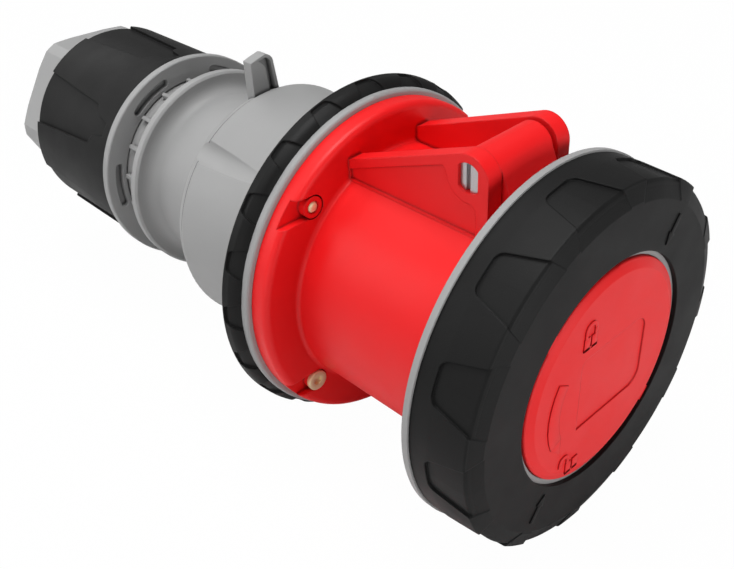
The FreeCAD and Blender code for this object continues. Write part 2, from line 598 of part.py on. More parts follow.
def release_tab():
    """Upright tab on the shoulder: an arched plate with a block on its left half and a thin rim on its right."""
    front, back = BODY_BACK_Y + 1.9, BODY_BACK_Y + 6.4
    step = front + 2.6
    foot, top = BODY_BACK_R - 7.0, BODY_BACK_R + 13.2
    plate = plate_y([(-TAB_HALF, foot), (TAB_HALF, foot), (TAB_HALF - 2.2, top - 4.0),
                     (TAB_HALF - 3.6, top - 0.9, 0.4, top), (-TAB_HALF + 2.2, top - 1.0), (-TAB_HALF, top - 1.6)],
                    front, back)
    channel = plate_y([(1.9, foot), (TAB_HALF - 1.2, foot), (TAB_HALF - 3.3, top - 4.2),
                       (TAB_HALF - 4.2, top - 2.0, 0.2, top - 1.2), (-TAB_HALF + 3.4, top - 1.7),
                       (-0.2, top - 4.5, 0.4, top - 8.0)], front - 1, step)
    return plate.cut(channel)


def flange_seal():
    """Flat seal with holes for the four screws."""
    seal = tube(COUNTERBORE_R + 0.2, RIM_IN - 0.2, FLANGE_BACK, HOUSING_Y)
    for x, z in mirrored_pair(UPPER_SCREW) + mirrored_pair(LOWER_SCREW):
        seal = seal.cut(rod(SCREW_R + 0.3, FLANGE_BACK - 1, HOUSING_Y + 1, x, z))
    return seal


def soft_band():
    body = turned_piece([
        (SEAT_R, SEAT_Y), (SEAT_R + 1.3, SEAT_Y), (BAND_R - 1.2, SEAT_Y + 1.4, BAND_R - 0.2, SEAT_Y + 3.6),
        (BAND_R, BAND_BACK - 0.6), (BAND_R - 0.6, BAND_BACK), (SEAT_R, BAND_BACK)])
    skin = turned_piece([
        (SEAT_R + 0.8, SEAT_Y - 2), (SEAT_R + 0.8, SEAT_Y + 0.2), (BAND_R - 1.9, SEAT_Y + 2.0, BAND_R - 0.9, SEAT_Y + 4.0),
        (BAND_R - 0.8, BAND_BACK + 1), (BAND_R + PAST, BAND_BACK + 1), (BAND_R + PAST, SEAT_Y - 2)])
    pocket = radial_prism(
        trapezoid(BAND_BACK - 1.2, 3.1, SEAT_Y, 4.8, SEAT_Y - 3, 5.0, BAND_R, 1.0),
        SEAT_R - PAST, BAND_R + PAST).common(skin)
    return body.cut(Part.makeCompound([at_angle(pocket, BAND_PHASE + 360.0 / BAND_POCKETS * i)
                                       for i in range(BAND_POCKETS)]))


def front_screw(x, z):
    """Pan-head brass screw, seen in the lower slots of the flange."""
    head = turned_piece([(0, FLANGE_Y - 0.6), (HEAD_R - 0.7, FLANGE_Y - 0.6), (HEAD_R, FLANGE_Y + 0.1),
                         (HEAD_R, FLANGE_Y + 1.2), (SCREW_R, FLANGE_Y + 1.2), (SCREW_R, 83.0), (0, 83.0)])
    head = head.cut(box(-2.2, 2.2, FLANGE_Y - 1, FLANGE_Y + 0.5, -0.45, 0.45))
    head = head.cut(box(-0.45, 0.45, FLANGE_Y - 1, FLANGE_Y + 0.5, -2.2, 2.2))
    head.translate(FreeCAD.Vector(x, 0, z))
    return head


def rear_screw(x, z):
    """Brass screw put in from behind; its end shows in the upper bosses."""
    screw = turned_piece([(0, FLANGE_Y - 0.4), (0.7 * SCREW_R, FLANGE_Y - 0.15, SCREW_R, FLANGE_Y + 0.6),
                          (SCREW_R, 84.0), (HEAD_R, 84.0), (HEAD_R, 86.6), (0, 86.6)])
    screw.translate(FreeCAD.Vector(x, 0, z))
    return screw


# Cable gland: seal, claw ring, slip washer, nut and its grip
def gland_seal():
    front = SEAL_BACK - SEAL_LENGTH + FACE_GAP
    body = turned_piece([
        (GLAND_BORE - 1.5, front), (CLAW_R - 0.3, front), (CLAW_R, SEAL_BACK), (GLAND_BORE - 1.5, SEAL_BACK)])
    for y in (front + 4.0, front + 9.0, front + 14.0):
        body = body.cut(tube(GLAND_BORE - 3, GLAND_BORE - 0.5, y, y + 2.0))
    return body


def claw_ring():
    front, back = SEAL_BACK + FACE_GAP, CLAW_BACK
    body = turned_piece([
        (GLAND_BORE, front), (CLAW_R, front), (CLAW_R, front + 6.0), (CLAW_R - 6.0, front + 6.0),
        (CLAW_R - 6.0, back - 11.0), (CLAW_R - 2.0, back - 7.0), (CLAW_R - 5.0, back), (GLAND_BORE, back)])
    slots = [at_angle(box(GLAND_BORE - 2, CLAW_R + 2, front + 7.0, back + 1, -CLAW_SLOT / 2, CLAW_SLOT / 2),
                      360.0 / CLAWS * i) for i in range(CLAWS)]
    return body.cut(Part.makeCompound(slots))


def slip_washer():
    front = CLAW_BACK + LOOSE_GAP
    return tube(GLAND_BORE + 0.4, CLAW_R - 2.0, front, front + WASHER_T)


def hexagon(corner, y0, y1):
    points = [polar(corner, HEX_PHASE + 60.0 * i) for i in range(6)]
    return plate_y(points, y0, y1)


def gland_nut():
    face = NUT_Y + NUT_FLANGE_T
    seat = CLAW_BACK + WASHER_T + 2.0 * LOOSE_GAP
    hole = GLAND_BORE + 1.0
    shell = turned_piece([
        (NUT_BORE, NUT_Y), (NUT_FLANGE_R - 0.4, NUT_Y), (NUT_FLANGE_R, NUT_Y + 0.4),
        (NUT_FLANGE_R, face), (NUT_SHELL_R, face), (NUT_SHELL_R, GRIP_END),
        (NUT_CHAMBER_R, GRIP_END), (NUT_BORE, GRIP_END - 6.0)])
    blank = hexagon(HEX_CORNER_R, GRIP_END, HEX_END).common(turned_piece([
        (0, GRIP_END - 3.0), (HEX_ROUND_R, GRIP_END - 3.0), (HEX_ROUND_R, HEX_END - 1.5),
        (HEX_ROUND_R - 3.0, HEX_END), (0, HEX_END)]))
    head = blank.cut(turned_piece([
        (0, GRIP_END - 4.0), (NUT_CHAMBER_R, GRIP_END - 4.0), (NUT_CHAMBER_R, seat), (hole, seat),
        (hole, HEX_END - 5.0), (hole + 1.2, HEX_END - 1.4, hole + 5.0, HEX_END), (hole + 5.0, HEX_END + 1.0),
        (0, HEX_END + 1.0)]))
    body = fuse_all([shell, head])
    inner, outer = NUT_FLANGE_R - KIDNEY_R[0], NUT_FLANGE_R - KIDNEY_R[1]
    slot = sector(inner, outer, NUT_Y - 1, NUT_Y + KIDNEY_DEPTH, 0, 12.0)
    for side in (-12.0, 12.0):
        x, z = polar((inner + outer) / 2, side)
        slot = slot.fuse(rod((outer - inner) / 2, NUT_Y - 1, NUT_Y + KIDNEY_DEPTH, x, z))
    slots = Part.makeCompound([at_angle(slot, HEX_PHASE + 60.0 * i) for i in range(6)])
    return body.cut(slots).removeSplitter()


def nut_grip():
    face = NUT_Y + NUT_FLANGE_T
    body = turned_piece([
        (NUT_SHELL_R, face), (PAD_R, face), (PAD_R, GRIP_END - 0.8), (PAD_R - 0.8, GRIP_END),
        (NUT_SHELL_R, GRIP_END)])
    skin = tube(SLEEVE_R, PAD_R + PAST, face, GRIP_END + PAST)
    ys = [face + y for y in RECESS_Y] + [GRIP_END + 2.0]
    half = [(PAD_R * math.sin(math.radians(a)), y) for a, y in zip(RECESS_HALF, ys)]
    recess = radial_prism([(-t, y) for t, y in reversed(half)] + half, SLEEVE_R - PAST, PAD_R + PAST).common(skin)
    return body.cut(Part.makeCompound([at_angle(recess, HEX_PHASE + 30.0 + 60.0 * i) for i in range(6)]))


def main():
    os.makedirs("parts", exist_ok=True)
    export(socket_housing(), "socket_housing")
    export(lid(), "lid")
    export(lid_gasket(), "lid_gasket")
    export(bayonet_ring(), "bayonet_ring")
    export(ring_grip(), "ring_grip")
    export(hinge_pin(), "hinge_pin")
    export(lid_spring(), "lid_spring")
    export(contact_carrier(), "contact_carrier")
    screws = []
    for name, x, z, pin in contact_places():
        angle = outward(x, z)
        export(contact(x, z, pin, angle), "contact_" + name)
        screws += [clamp_screw(x, z, pin, angle, y, 0) for y in screw_rows(pin)]
    export(Part.makeCompound(screws), "terminal_screws")
    export(rear_housing(), "rear_housing")
    export(flange_seal(), "flange_seal")
    export(soft_band(), "soft_band")
    export(Part.makeCompound([front_screw(x, z) for x, z in mirrored_pair(LOWER_SCREW)]), "front_screws")
    export(Part.makeCompound([rear_screw(x, z) for x, z in mirrored_pair(UPPER_SCREW)]), "rear_screws")
    export(gland_seal(), "gland_seal")
    export(claw_ring(), "claw_ring")
    export(slip_washer(), "slip_washer")
    export(gland_nut(), "gland_nut")
    export(nut_grip(), "nut_grip")


main()
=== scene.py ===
# %% [markdown]
# # A pin and sleeve connector, dressed in Blender
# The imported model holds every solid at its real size. This lesson loads it, puts the camera where the
# photographer stood, lights it softly, gives every moulded, rubber and metal piece its finish, and adds
# the small raised signs on the lid.

# %% Load the frame
import json
import math

import bpy
from mathutils import Matrix, Vector


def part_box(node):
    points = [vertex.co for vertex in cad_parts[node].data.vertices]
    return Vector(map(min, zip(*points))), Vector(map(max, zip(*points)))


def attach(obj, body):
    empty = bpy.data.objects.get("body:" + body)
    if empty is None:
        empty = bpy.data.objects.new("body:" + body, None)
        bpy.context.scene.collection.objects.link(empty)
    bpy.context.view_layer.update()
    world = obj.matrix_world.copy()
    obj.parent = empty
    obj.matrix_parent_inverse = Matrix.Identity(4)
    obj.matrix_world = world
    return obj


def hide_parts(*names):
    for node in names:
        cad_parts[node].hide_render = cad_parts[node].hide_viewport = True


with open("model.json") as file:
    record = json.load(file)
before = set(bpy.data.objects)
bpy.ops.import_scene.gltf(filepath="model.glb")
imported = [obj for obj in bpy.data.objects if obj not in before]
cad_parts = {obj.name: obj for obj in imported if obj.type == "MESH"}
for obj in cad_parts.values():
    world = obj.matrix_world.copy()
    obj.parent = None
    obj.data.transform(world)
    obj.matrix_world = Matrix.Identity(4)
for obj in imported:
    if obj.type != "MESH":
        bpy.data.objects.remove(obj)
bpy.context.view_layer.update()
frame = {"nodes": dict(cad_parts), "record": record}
MM = 0.001
print("CAD nodes:", len(frame["nodes"]))

# %% [markdown]
# ## The camera
# The photograph shows the connector from its lid end, from the left and from above, and the picture is
# turned a little. A camera can be aimed with a constraint, but here its three directions were measured, so
# they are written into its matrix: `back` points from the object to the lens, `right` and `up` span the
# picture, and the roll turns those two about `back`.

# %% Place the camera
AZIMUTH = math.radians(-42.045)
ELEVATION = math.radians(35.221)
ROLL = math.radians(-3.20)
CAMERA_PLACE = Vector((-196.20, -138.21, 189.43)) * MM
FOCAL_PIXELS = 960.1
PICTURE_WIDTH = 734


def camera_axes():
    """Right, up and back directions of the photograph's camera."""
    back = Vector((math.sin(AZIMUTH) * math.cos(ELEVATION), -math.cos(AZIMUTH) * math.cos(ELEVATION),
                   math.sin(ELEVATION)))
    level = Vector((math.cos(AZIMUTH), math.sin(AZIMUTH), 0))
    upright = back.cross(level)
    right = level * math.cos(ROLL) + upright * math.sin(ROLL)
    return right, back.cross(right), back


def place_camera():
    data = bpy.data.cameras.new("photo_camera")
    data.sensor_width = 36
    data.lens = FOCAL_PIXELS / PICTURE_WIDTH * data.sensor_width
    data.clip_start = 0.01
    camera = bpy.data.objects.new("photo_camera", data)
    bpy.context.scene.collection.objects.link(camera)
    turn = Matrix(camera_axes()).transposed().to_4x4()
    camera.matrix_world = Matrix.Translation(CAMERA_PLACE) @ turn
    bpy.context.scene.camera = camera
    print("camera lens", round(data.lens, 2), "mm")


place_camera()

# %% [markdown]
# ## The stage
# A catalogue picture has no visible room. A large pale floor under the connector takes its soft shadow. Seen
# by the camera it is mostly its own white, so the shadow stays faint, while every other ray meets plain
# paint. The world behind it is white to the camera and dimmer as a light, and reflections see a grey between
# the two, because a white room would lay a pale film over the black grips.

# %% Floor and world
FLOOR_WHITE = 0.75
FLOOR_GLOW = 0.985
WORLD_LIGHT = 0.06
WORLD_SEEN_IN_GLOSS = 0.30


def make_floor():
    low = min(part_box(node)[0][2] for node in ("soft_band", "bayonet_ring"))
    bpy.ops.object.select_all(action="DESELECT")
    bpy.ops.mesh.primitive_plane_add(size=8, location=(0, 0, low - 0.0002))
    floor = bpy.context.object
    floor.name = "floor"
    material = bpy.data.materials.new("floor_paint")
    material.use_nodes = True
    nodes, links = material.node_tree.nodes, material.node_tree.links
    paint = nodes["Principled BSDF"]
    paint.inputs["Base Color"].default_value = (FLOOR_WHITE, FLOOR_WHITE, FLOOR_WHITE, 1)
    paint.inputs["Roughness"].default_value = 0.9
    paint.inputs["Specular IOR Level"].default_value = 0.0
    glow = nodes.new("ShaderNodeEmission")
    rays = nodes.new("ShaderNodeLightPath")
    share = nodes.new("ShaderNodeMath")
    share.operation = "MULTIPLY"
    share.inputs[1].default_value = FLOOR_GLOW
    mix = nodes.new("ShaderNodeMixShader")
    links.new(rays.outputs["Is Camera Ray"], share.inputs[0])
    links.new(share.outputs[0], mix.inputs[0])
    links.new(paint.outputs[0], mix.inputs[1])
    links.new(glow.outputs[0], mix.inputs[2])
    links.new(mix.outputs[0], nodes["Material Output"].inputs["Surface"])
    floor.data.materials.append(material)
    print("floor at z", round(low / MM, 1), "mm")


def make_world():
    world = bpy.data.worlds.new("studio")
    world.use_nodes = True
    nodes, links = world.node_tree.nodes, world.node_tree.links
    sky = nodes["Background"]
    rays = nodes.new("ShaderNodeLightPath")
    in_gloss = nodes.new("ShaderNodeMapRange")
    in_gloss.inputs["To Min"].default_value = WORLD_LIGHT
    in_gloss.inputs["To Max"].default_value = WORLD_SEEN_IN_GLOSS
    strength = nodes.new("ShaderNodeMapRange")
    strength.inputs["To Max"].default_value = 1.0
    links.new(rays.outputs["Is Glossy Ray"], in_gloss.inputs["Value"])
    links.new(in_gloss.outputs[0], strength.inputs["To Min"])
    links.new(rays.outputs["Is Camera Ray"], strength.inputs["Value"])
    links.new(strength.outputs[0], sky.inputs["Strength"])
    sky.inputs["Color"].default_value = (1, 1, 1, 1)
    bpy.context.scene.world = world
    print("world light", WORLD_LIGHT)


make_floor()
make_world()

# %% [markdown]
# ## The lamps
# The picture has bright tops, a bright lid and dark corners behind the ring. Two large area lamps give that:
# one above the connector and one straight in front of the lid, which the ring keeps off what lies behind it.
# Four weak ones fill the left side, the underside and the gland. Their strengths were found by rendering each
# lamp alone and choosing the mixture nearest to the picture.

# %% Lamps
def add_lamp(name, place, aim, size, power):
    data = bpy.data.lights.new(name, "AREA")
    data.size = size
    data.energy = power
    lamp = bpy.data.objects.new(name, data)
    bpy.context.scene.collection.objects.link(lamp)
    lamp.location = place
    lamp.rotation_euler = (Vector(aim) - Vector(place)).to_track_quat("-Z", "Y").to_euler()
    print("lamp", name, power, "W")


OBJECT_MIDDLE = (0.0, 0.08, 0.0)
LAMP_SIZE = 0.7
add_lamp("top", (0.0, 0.10, 1.30), OBJECT_MIDDLE, LAMP_SIZE, 13.2)
add_lamp("front", (0.0, -1.25, 0.15), OBJECT_MIDDLE, LAMP_SIZE, 8.8)
add_lamp("top_left", (-0.80, 0.10, 1.00), OBJECT_MIDDLE, LAMP_SIZE, 2.6)
add_lamp("low_left", (-1.15, -0.20, 0.0), OBJECT_MIDDLE, LAMP_SIZE, 3.0)
add_lamp("back_left", (-0.80, 0.90, 0.50), OBJECT_MIDDLE, LAMP_SIZE, 3.6)
add_lamp("back_top", (0.0, 1.15, 0.80), OBJECT_MIDDLE, LAMP_SIZE, 2.6)

# %% [markdown]
# ## One moulded surface for all the plastics
# Every plastic here came out of a mould, whose wall was spark-eroded to a fine even grain. Instead of drawing
# the grain in each material, one node group makes it: a broad noise that shifts the tone a little, as
# pigment does, a second that changes the gloss, and a very fine one for the grain's height. The Bevel node
# rounds the light on the edges, because no moulded edge is knife sharp. The group hands out only what
# changes over the surface, and each material sets its own values.

# %% Node group: moulded surface
def group_socket(group, name, kind, direction, value=None):
    socket = group.interface.new_socket(name=name, in_out=direction, socket_type=kind)
    if value is not None:
        socket.default_value = value
    return socket


def noise(nodes, scale, detail):
    node = nodes.new("ShaderNodeTexNoise")
    node.inputs["Scale"].default_value = scale
    node.inputs["Detail"].default_value = detail
    return node


def build_moulded_group():
    group = bpy.data.node_groups.new("moulded_surface", "ShaderNodeTree")
    group_socket(group, "Colour", "NodeSocketColor", "INPUT", (0.5, 0.5, 0.5, 1))
    group_socket(group, "Tone Spread", "NodeSocketFloat", "INPUT", 0.04)
    group_socket(group, "Gloss Low", "NodeSocketFloat", "INPUT", 0.3)
    group_socket(group, "Gloss High", "NodeSocketFloat", "INPUT", 0.4)
    group_socket(group, "Grain Scale", "NodeSocketFloat", "INPUT", 2500.0)
    group_socket(group, "Colour", "NodeSocketColor", "OUTPUT")
    group_socket(group, "Roughness", "NodeSocketFloat", "OUTPUT")
    group_socket(group, "Grain", "NodeSocketFloat", "OUTPUT")
    nodes, links = group.nodes, group.links
    given = nodes.new("NodeGroupInput")
    result = nodes.new("NodeGroupOutput")
    place = nodes.new("ShaderNodeTexCoord")
    tone = noise(nodes, 22.0, 2.0)
    gloss = noise(nodes, 60.0, 3.0)
    grain = noise(nodes, 2500.0, 2.0)
    for node in (tone, gloss, grain):
        links.new(place.outputs["Object"], node.inputs["Vector"])
    links.new(given.outputs["Grain Scale"], grain.inputs["Scale"])
    less = nodes.new("ShaderNodeMath")
    less.operation = "SUBTRACT"
    less.inputs[0].default_value = 1.0
    more = nodes.new("ShaderNodeMath")
    more.inputs[0].default_value = 1.0
    links.new(given.outputs["Tone Spread"], less.inputs[1])
    links.new(given.outputs["Tone Spread"], more.inputs[1])
    value = nodes.new("ShaderNodeMapRange")
    value.inputs["From Min"].default_value = 0.3
    value.inputs["From Max"].default_value = 0.7
    links.new(tone.outputs["Fac"], value.inputs["Value"])
    links.new(less.outputs[0], value.inputs["To Min"])
    links.new(more.outputs[0], value.inputs["To Max"])
    colour = nodes.new("ShaderNodeHueSaturation")
    links.new(value.outputs[0], colour.inputs["Value"])
    links.new(given.outputs["Colour"], colour.inputs["Color"])
    shine = nodes.new("ShaderNodeMapRange")
    shine.inputs["From Min"].default_value = 0.3
    shine.inputs["From Max"].default_value = 0.7
    links.new(gloss.outputs["Fac"], shine.inputs["Value"])
    links.new(given.outputs["Gloss Low"], shine.inputs["To Min"])
    links.new(given.outputs["Gloss High"], shine.inputs["To Max"])
    links.new(colour.outputs[0], result.inputs["Colour"])
    links.new(shine.outputs[0], result.inputs["Roughness"])
    links.new(grain.outputs["Fac"], result.inputs["Grain"])
    return group


MOULDED = build_moulded_group()
print("group", MOULDED.name)

# %% [markdown]
# ## The plastics and rubbers
# The photograph shows a clean new connector: saturated red shells, mid-grey shells, and black soft grips
# that scatter the light more. The seals and inner mouldings follow the same recipe with duller values.

# %% Moulded materials
# Painted shade: an Ambient Occlusion node darkens each moulded colour in the piece's own narrow corners,
# within CREASE_REACH.
CREASE_REACH = 1.6 * MM
CREASE_SHUT = 0.45
CREASE_OPEN = 0.85


def crease_shade(nodes, links, colour, darkest):
    """Painted shade: darken a colour in the piece's own narrow corners, where little light reaches."""
    corner = nodes.new("ShaderNodeAmbientOcclusion")
    corner.only_local = True
    corner.samples = 8
    corner.inputs["Distance"].default_value = CREASE_REACH
    depth = nodes.new("ShaderNodeMapRange")
    depth.inputs["From Min"].default_value = CREASE_SHUT
    depth.inputs["From Max"].default_value = CREASE_OPEN
    depth.inputs["To Min"].default_value = darkest
    depth.inputs["To Max"].default_value = 1.0
    shade = nodes.new("ShaderNodeHueSaturation")
    links.new(corner.outputs["AO"], depth.inputs["Value"])
    links.new(depth.outputs[0], shade.inputs["Value"])
    links.new(colour, shade.inputs["Color"])
    return shade.outputs[0]


def moulded_material(name, colour, gloss, spread, grain_scale, grain_depth, edge, specular=0.5,
                     darkest=0.35):
    """A plastic or rubber from the moulded group; grain_depth and edge are in metres."""
    material = bpy.data.materials.new(name)
    material.use_nodes = True
    nodes, links = material.node_tree.nodes, material.node_tree.links
    shader = nodes["Principled BSDF"]
    shader.inputs["Specular IOR Level"].default_value = specular
    surface = nodes.new("ShaderNodeGroup")
    surface.node_tree = MOULDED
    surface.inputs["Colour"].default_value = (*colour, 1)
    surface.inputs["Gloss Low"].default_value = gloss[0]
    surface.inputs["Gloss High"].default_value = gloss[1]
    surface.inputs["Tone Spread"].default_value = spread
    surface.inputs["Grain Scale"].default_value = grain_scale
    rounded = nodes.new("ShaderNodeBevel")
    rounded.samples = 6
    rounded.inputs["Radius"].default_value = edge
    bump = nodes.new("ShaderNodeBump")
    bump.inputs["Strength"].default_value = 0.5
    bump.inputs["Distance"].default_value = grain_depth
    # The base colour carries the painted shade of the piece's own corners.
    links.new(crease_shade(nodes, links, surface.outputs["Colour"], darkest), shader.inputs["Base Color"])
    links.new(surface.outputs["Roughness"], shader.inputs["Roughness"])
    links.new(surface.outputs["Grain"], bump.inputs["Height"])
    links.new(rounded.outputs[0], bump.inputs["Normal"])
    links.new(bump.outputs[0], shader.inputs["Normal"])
    return material


FINISHES = {
    "red_plastic": moulded_material(
        "red_plastic", colour=(0.86, 0.010, 0.012), gloss=(0.38, 0.48), spread=0.02, grain_scale=2600.0,
        grain_depth=0.03 * MM, edge=0.6 * MM, specular=0.28, darkest=0.5),
    "grey_plastic": moulded_material(
        "grey_plastic", colour=(0.34, 0.34, 0.34), gloss=(0.45, 0.55), spread=0.03, grain_scale=2600.0,
        grain_depth=0.04 * MM, edge=0.6 * MM, specular=0.35),
    "dark_plastic": moulded_material(
        "dark_plastic", colour=(0.030, 0.030, 0.032), gloss=(0.42, 0.55), spread=0.05, grain_scale=2200.0,
        grain_depth=0.05 * MM, edge=0.4 * MM),
    "black_soft": moulded_material(
        "black_soft", colour=(0.006, 0.006, 0.006), gloss=(0.46, 0.56), spread=0.06, grain_scale=1900.0,
        grain_depth=0.06 * MM, edge=0.6 * MM, specular=0.17),
    "seal_rubber": moulded_material(
        "seal_rubber", colour=(0.012, 0.012, 0.012), gloss=(0.60, 0.72), spread=0.08, grain_scale=1500.0,
        grain_depth=0.08 * MM, edge=0.4 * MM, specular=0.30),
}
# Painted shade for the signs' narrow side walls: the same finishes in a deeper tone.
SHADED_SIGN_WALLS = {
    "red_plastic": moulded_material(
        "red_sign_wall_shade", colour=(0.34, 0.003, 0.004), gloss=(0.5, 0.6), spread=0.02, grain_scale=2600.0,
        grain_depth=0.03 * MM, edge=0.1 * MM, specular=0.2),
    "black_soft": moulded_material(
        "black_sign_wall_shade", colour=(0.002, 0.002, 0.002), gloss=(0.6, 0.7), spread=0.02, grain_scale=1900.0,
        grain_depth=0.03 * MM, edge=0.1 * MM, specular=0.1),
}
print("moulded finishes:", ", ".join(FINISHES))

# %% [markdown]
# ## The metals
# The screws and sleeves are turned brass: fine rings round each axis and a warm, half matt reflection.
# The hinge pin and the spring are drawn steel, with scratches along their length. A noise stretched along
# one direction by a Mapping node gives both.

# %% Metal materials
def metal_material(name, colour, rough, stretch, depth, metallic=1.0):
    """A worked metal; stretch scales the noise along x, y and z, and a thin matt film lowers metallic."""
    material = bpy.data.materials.new(name)
    material.use_nodes = True
    nodes, links = material.node_tree.nodes, material.node_tree.links
    shader = nodes["Principled BSDF"]
    shader.inputs["Metallic"].default_value = metallic
    place = nodes.new("ShaderNodeTexCoord")
    mapping = nodes.new("ShaderNodeMapping")
    mapping.inputs["Scale"].default_value = stretch
    links.new(place.outputs["Object"], mapping.inputs["Vector"])
    lines = noise(nodes, 1000.0, 3.0)
    links.new(mapping.outputs[0], lines.inputs["Vector"])
    tint = nodes.new("ShaderNodeMixRGB")
    tint.inputs["Color1"].default_value = (*[0.82 * c for c in colour], 1)
    tint.inputs["Color2"].default_value = (*colour, 1)
    links.new(lines.outputs["Fac"], tint.inputs["Fac"])
    links.new(tint.outputs[0], shader.inputs["Base Color"])
    shine = nodes.new("ShaderNodeMapRange")
    shine.inputs["To Min"].default_value = rough - 0.08
    shine.inputs["To Max"].default_value = rough + 0.08
    links.new(lines.outputs["Fac"], shine.inputs["Value"])
    links.new(shine.outputs[0], shader.inputs["Roughness"])
    bump = nodes.new("ShaderNodeBump")
    bump.inputs["Strength"].default_value = 0.4
    bump.inputs["Distance"].default_value = depth
    links.new(lines.outputs["Fac"], bump.inputs["Height"])
    links.new(bump.outputs[0], shader.inputs["Normal"])
    return material


FINISHES["brass"] = metal_material(
    "brass", colour=(0.97, 0.84, 0.52), rough=0.42, stretch=(0.25, 4.0, 0.25), depth=0.02 * MM, metallic=0.45)
FINISHES["steel"] = metal_material(
    "steel", colour=(0.56, 0.56, 0.57), rough=0.34, stretch=(0.2, 3.0, 3.0), depth=0.02 * MM)
print("metal finishes: brass, steel")

# %% [markdown]
# ## Dressing the CAD pieces
# The record says which material slot each node belongs to, so one loop dresses them all. The shapes stay as
# they are: only the object's material changes.

# %% Dress the nodes
def dress_nodes():
    for part in frame["record"]["subparts"]:
        piece = frame["nodes"][part["node"]]
        piece.data.materials.clear()
        piece.data.materials.append(FINISHES[part["material_slot"]])


dress_nodes()

# %% [markdown]
# ## Helpers for modelling
# The pieces that follow are modelled as by hand: a primitive is added, shaped in edit mode and finished with
# a Bevel modifier. These helpers hold the steps that every piece repeats.

# %% Helpers for modelling
def fresh(add, **settings):
    """Add a primitive with nothing else selected, and return it."""
    bpy.ops.object.select_all(action="DESELECT")
    add(**settings)
    return bpy.context.object


def settle(piece, name):
    """Put a piece's place into its mesh and name it."""
    bpy.ops.object.select_all(action="DESELECT")
    piece.select_set(True)
    bpy.context.view_layer.objects.active = piece
    bpy.ops.object.transform_apply(location=True, rotation=True, scale=True)
    piece.name = name
    piece.data.name = name
    return piece


def join(pieces, name):
    bpy.ops.object.select_all(action="DESELECT")
    for piece in pieces:
        piece.select_set(True)
    bpy.context.view_layer.objects.active = pieces[0]
    bpy.ops.object.join()
    joined = bpy.context.object
    joined.name = name
    joined.data.name = name
    return joined


def soften(piece, width):
    """Round the edges with an applied Bevel modifier and smooth the shading."""
    bpy.ops.object.select_all(action="DESELECT")
    piece.select_set(True)
    bpy.context.view_layer.objects.active = piece
    bevel = piece.modifiers.new("edge", "BEVEL")
    bevel.width = width
    bevel.segments = 2
    bevel.limit_method = "ANGLE"
    bpy.ops.object.modifier_apply(modifier=bevel.name)
    bpy.ops.object.shade_smooth_by_angle(angle=math.radians(40))


print("helpers ready")

# %% [markdown]
# ## The lower flange screws
# Each is a turned brass head with a flat face, a rounded rim and a round hole in the middle, on a plain
# shank. The hole could be a boolean cut, but an inset and an extrude inwards give it with clean edges. The
# pair stands for the CAD screws, so its places and sizes are read from their box.

# %% Lower flange screws
HOLE_SHARE = 0.42
SHANK_SHARE = 0.52
HOLE_DEPTH = 1.1 * MM
HEAD_HEIGHT = 1.8 * MM
SHANK_OVERLAP = 0.1 * MM
HEAD_EDGE = 0.22 * MM


def cylinder_along_y(x, z, radius, front, back):
    piece = fresh(bpy.ops.mesh.primitive_cylinder_add, vertices=40, radius=radius, depth=back - front,
                  location=(x, (front + back) / 2, z), rotation=(math.pi / 2, 0, 0))
    return settle(piece, "turned")


def select_front_cap(piece):
    bpy.ops.object.mode_set(mode="EDIT")
    bpy.ops.mesh.select_mode(type="FACE")
    bpy.ops.mesh.select_all(action="DESELECT")
    bpy.ops.object.mode_set(mode="OBJECT")
    cap = min(piece.data.polygons, key=lambda face: face.center.y)
    cap.select = True
    bpy.ops.object.mode_set(mode="EDIT")


def screw_head(x, z, radius, front, back):
    head = cylinder_along_y(x, z, radius, front, front + HEAD_HEIGHT)
    select_front_cap(head)
    bpy.ops.mesh.inset(thickness=radius * (1 - HOLE_SHARE))
    bpy.ops.mesh.extrude_region_move(TRANSFORM_OT_translate={"value": (0, HOLE_DEPTH, 0)})
    bpy.ops.object.mode_set(mode="OBJECT")
    shank = cylinder_along_y(x, z, radius * SHANK_SHARE, front + HEAD_HEIGHT - SHANK_OVERLAP, back)
    return join([head, shank], "screw")


def lower_screws():
    low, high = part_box("front_screws")
    radius = (high[2] - low[2]) / 2
    z = (high[2] + low[2]) / 2
    pair = [screw_head(x, z, radius, low[1], high[1]) for x in (low[0] + radius, high[0] - radius)]
    screws = join(pair, "lower_screws")
    soften(screws, HEAD_EDGE)
    screws.data.materials.clear()
    screws.data.materials.append(FINISHES["brass"])
    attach(screws, "housing")
    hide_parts("front_screws")
    print("lower screws", len(screws.data.polygons), "faces")


lower_screws()

# %% [markdown]
# ## Raised signs on the lid and the ring
# Two padlocks, one shut and one open, stand at the ends of a broad curved arrow that shows which way the ring
# turns, and two small arrows on the ring point at them. They are moulded with the piece that carries them and
# stand a third of a millimetre proud. They could be text or an image, but small solids catch the light as the
# real ones do. Each starts as a primitive, is shaped in edit mode, and is laid on a face whose place comes
# from the frame. Their narrow side walls get a deeper tone, because hardly any light falls between them.

# %% Bars, arcs and wedges on a face
SIGN_PROUD = 0.35 * MM
SIGN_SUNK = 0.10 * MM
SIGN_EDGE = 0.06 * MM
POINT_SHARE = 0.12
DEGREES_A_STEP = 9
SIGN_FACE = {"lid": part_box("lid")[0][1], "ring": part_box("ring_grip")[0][1]}


def on_face(body):
    """The y of a sign's middle on a body's front face."""
    return SIGN_FACE[body] + (SIGN_SUNK - SIGN_PROUD) / 2


def bar(body, start, end, width):
    """Flat bar between two points (x, z) of a body's front face, in metres."""
    length = math.dist(start, end)
    piece = fresh(bpy.ops.mesh.primitive_cube_add, size=1,
                  location=((start[0] + end[0]) / 2, on_face(body), (start[1] + end[1]) / 2),
                  rotation=(0, -math.atan2(end[1] - start[1], end[0] - start[0]), 0))
    piece.scale = (length, SIGN_PROUD + SIGN_SUNK, width)
    return settle(piece, "bar")


